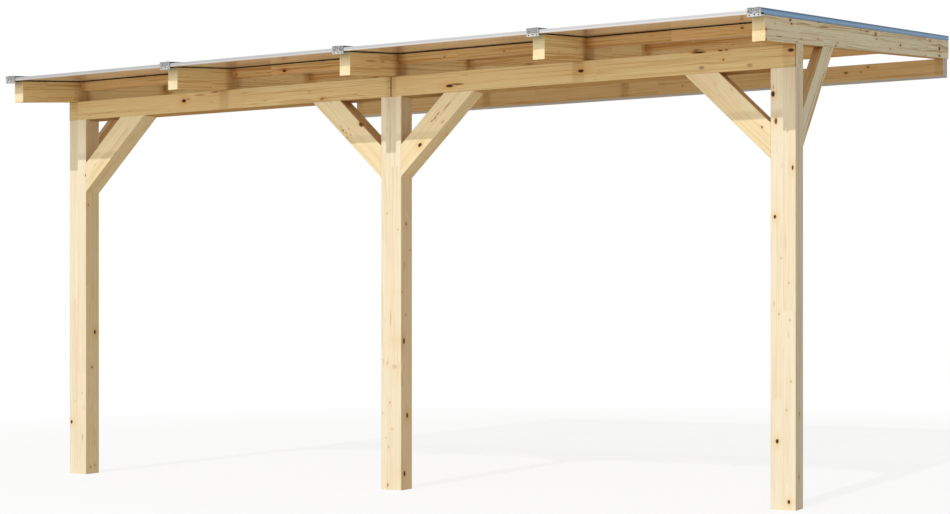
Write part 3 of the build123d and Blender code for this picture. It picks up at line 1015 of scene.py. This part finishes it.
def add_block(mesh, centre, half):
    """A block with eased edges, square to the roof, by its half sizes across, along and over it"""
    made = bmesh.ops.create_cube(mesh, size=2.0)["verts"]
    turn = Matrix((ACROSS, UP_SLOPE, ROOF_NORMAL)).transposed().to_4x4()
    shape = Matrix.Translation(centre) @ turn @ Matrix.Diagonal((*half, 1))
    bmesh.ops.transform(mesh, matrix=shape, verts=made)
    edges = list({edge for vert in made for edge in vert.link_edges})
    bmesh.ops.bevel(mesh, geom=edges, offset=min(half) * 0.35, segments=2, affect="EDGES", profile=0.6)


class PERGOLA_OT_rubber(bpy.types.Operator):
    """Gaskets on the rafters, seals under the caps, and tapes on the battens, with dark tapes and lips that
    are partly painted shade along the wood's top edges
    """
    bl_idname = "pergola.rubber"
    bl_label = "Rubber"

    def execute(self, context):
        material = shared_material(rubber_material, "seal_rubber")
        for name in ("cap_seals", *(f"base_gasket_{number}" for number in range(1, 6))):
            finish_node(name, material)
        tapes, lips = bmesh.new(), bmesh.new()
        self.lay_tapes(tapes, lips)
        self.turn_down_gaskets(lips)
        new_piece("batten_tapes", tapes, material)
        new_piece("seal_and_shade_lips", lips, material)
        return {"FINISHED"}

    def lay_tapes(self, tapes, lips):
        """Tapes on the battens, with narrow lips where they turn down over the wood's edges; both are partly
        painted shade along those edges
        """
        for number in range(1, 6):
            low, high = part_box(f"batten_row_{number}")
            run = -(low.y + high.y) / 2 / math.cos(PITCH) + BATTEN_DEPTH / 2 * math.tan(PITCH)
            for left, right in zip(RAFTERS, RAFTERS[1:]):
                x = (left + right) / 2
                half = (right - left) / 2 - RAFTER_HALF - TAPE_GAP
                add_block(tapes, roof_point(x, run, SEAL_TOP / 2), (half, BATTEN_HALF, SEAL_TOP / 2))
                for side in (-1, 1):
                    edge = run + side * (BATTEN_HALF + LIP_HALF)
                    self.add_lip(lips, x, edge, BATTEN_LIP_DROP, half, LIP_HALF)

    def turn_down_gaskets(self, lips):
        """Lips along the rafters' edges, apart from those at the open sides; they are partly painted shade
        along those edges
        """
        low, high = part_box("base_gasket_3")
        start, end = -high.y / math.cos(PITCH), -low.y / math.cos(PITCH)
        for x in RAFTERS:
            for side in (-1, 1):
                if abs(x + side * RAFTER_HALF) < HALF_WIDTH - SIDE_REACH:
                    beside = x + side * (RAFTER_HALF + LIP_HALF)
                    middle, half_along = (start + end) / 2, (end - start) / 2
                    self.add_lip(lips, beside, middle, RAFTER_LIP_DROP, LIP_HALF, half_along)

    def add_lip(self, mesh, x, run, drop, half_across, half_along):
        """A thin dark lip from the top of the seals down over the wood's edge, partly painted shade"""
        half_height = (SEAL_TOP + drop) / 2
        centre = roof_point(x, run, SEAL_TOP - half_height)
        add_block(mesh, centre, (half_across, half_along, half_height))


# Moulded cap on a bar's front end: heights over the rafters' tops, places across and half sizes, in metres
CAP_LEVEL = 0.0165
HOLLOW_HALF = (0.0285, 0.0006, 0.0110)
RIB_HALF = (0.0022, 0.0012, 0.0120)
RIB_COUNT = 6
RIB_PITCH = 0.011
FIRST_RIB = 0.0275
RAIL_HALF = (0.0305, 0.0011, 0.0014)
RAIL_LEVELS = (0.0285, 0.0190, 0.0105, 0.0045)
PLATE_SCREWS = ((-0.021, -0.004), (0.002, -0.002), (0.021, -0.004))
PLATE_SCREW_RADIUS = 0.0032
PLATE_SCREW_HEIGHT = 0.0014
# Slot and lip at the front of an end bar's side wall; the slot is a dark rubber block, painted shade in a gap
SLOT_OUT = 0.0022
SLOT_HALF = (0.0006, 0.019, 0.0040)
WALL_LIP_HALF = (0.0014, 0.024, 0.0030)


class PERGOLA_OT_bar_ends(bpy.types.Operator):
    """Moulded caps, small screws, slots and lips at the bars' front ends; the slots are dark rubber blocks,
    painted shade in a gap
    """
    bl_idname = "pergola.bar_ends"
    bl_label = "Bar ends"

    def execute(self, context):
        low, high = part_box("bar_end_stops")
        face_run = -(Vector((0, low.y, high.z)) - ROOF_AT_WALL).dot(UP_SLOPE)
        front = face_run + 0.0006
        ribs, hollows, slots, lips, screws = (bmesh.new() for _ in range(5))
        for x in RAFTERS:
            add_block(hollows, roof_point(x, front - 0.0002, CAP_LEVEL), HOLLOW_HALF)
            for step in range(RIB_COUNT):
                add_block(ribs, roof_point(x - FIRST_RIB + step * RIB_PITCH, front, CAP_LEVEL), RIB_HALF)
            for level in RAIL_LEVELS:
                add_block(ribs, roof_point(x, front, level), RAIL_HALF)
            for offset, level in PLATE_SCREWS:
                place = roof_point(x + offset, face_run, level)
                add_screw(screws, place, -UP_SLOPE, PLATE_SCREW_RADIUS, PLATE_SCREW_HEIGHT)
        for side in (-1, 1):
            x = side * (HALF_WIDTH + SLOT_OUT)
            add_block(slots, roof_point(x, face_run - 0.021, 0.0022), SLOT_HALF)
            add_block(lips, roof_point(x - side * 0.001, face_run - 0.024, -0.0044), WALL_LIP_HALF)
        cap = moulded_material("bar_end_moulding", colour(106, 109, 118), colour(206, 207, 209))
        shade = moulded_material("bar_end_shade", colour(72, 76, 84), colour(158, 161, 166))
        new_piece("bar_end_caps", ribs, cap)
        new_piece("bar_end_hollows", hollows, shade)
        new_piece("bar_end_shadow_slots", slots, shared_material(rubber_material, "seal_rubber"))
        new_piece("bar_end_lips", lips, shared_material(plate_material, "plate_metal"))
        new_piece("bar_end_screws", screws, shared_material(screw_material, "screw_metal"))
        return {"FINISHED"}


# Timber screws on the outer faces of the end rafters, as y and z: two at the wall, two near the tip
RAFTER_SCREWS = ((-0.275, 0.085), (-0.275, 0.043), (-3.861, -0.341), (-3.861, -0.383))


class PERGOLA_OT_screws(bpy.types.Operator):
    """Screw heads in the end rafters, at the wall beams and near the front tips"""
    bl_idname = "pergola.screws"
    bl_label = "Timber screws"

    def execute(self, context):
        look = context.scene.pergola_fixing
        mesh = bmesh.new()
        for side in (-1, 1):
            for y, z in RAFTER_SCREWS:
                place = Vector((side * HALF_WIDTH, y, z))
                add_screw(mesh, place, ACROSS * side, look.head_radius, look.head_height)
        new_piece("rafter_screws", mesh, shared_material(screw_material, "screw_metal"))
        return {"FINISHED"}


# The camera's place from the middle of the posts' front line on the ground, its turn and its lens shift
CAMERA_PLACE = (4.4283, -7.8634, 0.8412)
CAMERA_TURN = 0.5038
CAMERA_SHIFT = (0.0719, 0.0759)
# The large soft light stands this far before the wall and this high, and is this wide and tall
FRONT_LIGHT_PLACE = (0, -15, 2.5)
FRONT_LIGHT_SIZE = (14, 7)
# Light that the sky and the floor throw on the pergola, while both look white
SKY_GLOW = (1.0, 0.98, 0.91)
FLOOR_BOUNCE = (0.80, 0.70, 0.55)
WHITE = (1.0, 1.0, 1.0)


class PERGOLA_OT_stage(bpy.types.Operator):
    """Pale floor, soft light and the camera"""
    bl_idname = "pergola.stage"
    bl_label = "Stage"

    def execute(self, context):
        scene = context.scene
        look = scene.pergola_stage
        scene.view_settings.view_transform = "Standard"
        self.add_camera(scene, look)
        self.add_lights(scene, look)
        self.add_sky(scene, look)
        self.add_floor(scene, look)
        return {"FINISHED"}

    def add_camera(self, scene, look):
        """A level camera, low and to the right of the pergola, turned towards it"""
        lens = bpy.data.cameras.new("camera")
        lens.lens = look.focal_length
        lens.sensor_width = 36
        lens.shift_x, lens.shift_y = CAMERA_SHIFT
        lens.clip_end = 200
        camera = bpy.data.objects.new("camera", lens)
        across, deep, up = CAMERA_PLACE
        camera.location = (across, POST_FRONT + deep, GROUND + up)
        camera.rotation_euler = (math.pi / 2, 0, CAMERA_TURN)
        scene.collection.objects.link(camera)
        scene.camera = camera

    def add_lights(self, scene, look):
        """A sun in front of the posts and a large soft light behind the camera"""
        sun = bpy.data.lights.new("sun", "SUN")
        sun.energy = look.sun_strength
        sun.angle = math.radians(0.6)
        towards_sun = Vector((0, -math.cos(look.sun_height), math.sin(look.sun_height)))
        self.aim(scene, sun, towards_sun * 20, Vector())
        front = bpy.data.lights.new("front_light", "AREA")
        front.shape = "RECTANGLE"
        front.size, front.size_y = FRONT_LIGHT_SIZE
        front.energy = look.front_power
        self.aim(scene, front, Vector(FRONT_LIGHT_PLACE), Vector((0, POST_FRONT, GROUND / 2)))

    def aim(self, scene, light, place, target):
        """Puts a light in its place, turned towards its target"""
        lamp = bpy.data.objects.new(light.name, light)
        lamp.location = place
        lamp.rotation_euler = (target - place).to_track_quat("-Z", "Y").to_euler()
        scene.collection.objects.link(lamp)

    def add_sky(self, scene, look):
        """A sky that looks white and lights the pergola more softly and warmly"""
        world = bpy.data.worlds.new("sky")
        scene.world = world
        world.use_nodes = True
        world.node_tree.nodes.clear()
        w = Wiring(world.node_tree)
        shown = w.seen_by("Camera", "Glossy", "Transmission")
        sky = w.add("ShaderNodeBackground")
        w.feed(sky.inputs["Color"], w.mix(shown, SKY_GLOW, WHITE))
        w.feed(sky.inputs["Strength"], w.fade(shown, 0.0, 1.0, look.sky_strength, 1.0))
        end = w.add("ShaderNodeOutputWorld")
        w.feed(end.inputs[0], sky.outputs[0])

    def add_floor(self, scene, look):
        """A pale floor that keeps the pergola's shadow and fades to white around it"""
        reach = look.floor_reach
        mesh = bmesh.new()
        corners = [(-reach, -reach), (reach, -reach), (reach, reach), (-reach, reach)]
        mesh.faces.new([mesh.verts.new((x, y, 0)) for x, y in corners])
        data = bpy.data.meshes.new("floor")
        mesh.to_mesh(data)
        mesh.free()
        data.materials.append(self.floor_material())
        floor = bpy.data.objects.new("floor", data)
        floor.location = (0, 0, GROUND)
        scene.collection.objects.link(floor)

    def floor_material(self):
        """Warm where it throws light on the pergola, and nearly white where it is seen"""
        material, w, shader = new_material("pale_floor")
        shown = w.seen_by("Camera", "Glossy")
        w.feed(shader["Base Color"], w.mix(shown, FLOOR_BOUNCE, WHITE))
        shader["Roughness"].default_value = 0.9
        far = w.fade(w.vector("LENGTH", w.object_place()), 3.5, 8.0, 0.82, 1.0)
        glow = w.add("ShaderNodeEmission")
        w.feed(glow.inputs["Color"], WHITE)
        both = w.add("ShaderNodeMixShader")
        made = material.node_tree.nodes
        w.feed(both.inputs[0], w.math("MULTIPLY", shown, far))
        w.feed(both.inputs[1], made["Principled BSDF"].outputs[0])
        w.feed(both.inputs[2], glow.outputs[0])
        w.feed(made["Material Output"].inputs[0], both.outputs[0])
        return material


STEPS = (
    PERGOLA_OT_posts, PERGOLA_OT_beams, PERGOLA_OT_braces, PERGOLA_OT_rafters, PERGOLA_OT_battens,
    PERGOLA_OT_sheets, PERGOLA_OT_bars, PERGOLA_OT_rubber, PERGOLA_OT_bar_ends, PERGOLA_OT_screws,
    PERGOLA_OT_stage,
)
SETTINGS = {
    "pergola_timber": PergolaTimberSettings,
    "pergola_roof": PergolaRoofSettings,
    "pergola_fixing": PergolaFixingSettings,
    "pergola_stage": PergolaStageSettings,
}


class PERGOLA_PT_panel(bpy.types.Panel):
    """Lists the pergola's settings and its steps"""
    bl_idname = "PERGOLA_PT_panel"
    bl_label = "Pergola"
    bl_space_type = "VIEW_3D"
    bl_region_type = "UI"
    bl_category = "Pergola"

    def draw(self, context):
        for step in STEPS:
            self.layout.operator(step.bl_idname)
        for name, group in SETTINGS.items():
            box = self.layout.box()
            for setting in group.__annotations__:
                box.prop(getattr(context.scene, name), setting)


def register():
    """Adds the settings, the steps and the panel to Blender"""
    for group in SETTINGS.values():
        bpy.utils.register_class(group)
    for name, group in SETTINGS.items():
        setattr(bpy.types.Scene, name, PointerProperty(type=group))
    for step in STEPS:
        bpy.utils.register_class(step)
    bpy.utils.register_class(PERGOLA_PT_panel)


def unregister():
    """Takes them away again, in reverse"""
    bpy.utils.unregister_class(PERGOLA_PT_panel)
    for step in reversed(STEPS):
        bpy.utils.unregister_class(step)
    for name, group in SETTINGS.items():
        delattr(bpy.types.Scene, name)
        bpy.utils.unregister_class(group)


def main():
    """Runs every step in order"""
    register()
    for step in STEPS:
        family, name = step.bl_idname.split(".")
        getattr(getattr(bpy.ops, family), name)()


if __name__ == "__main__":
    main()
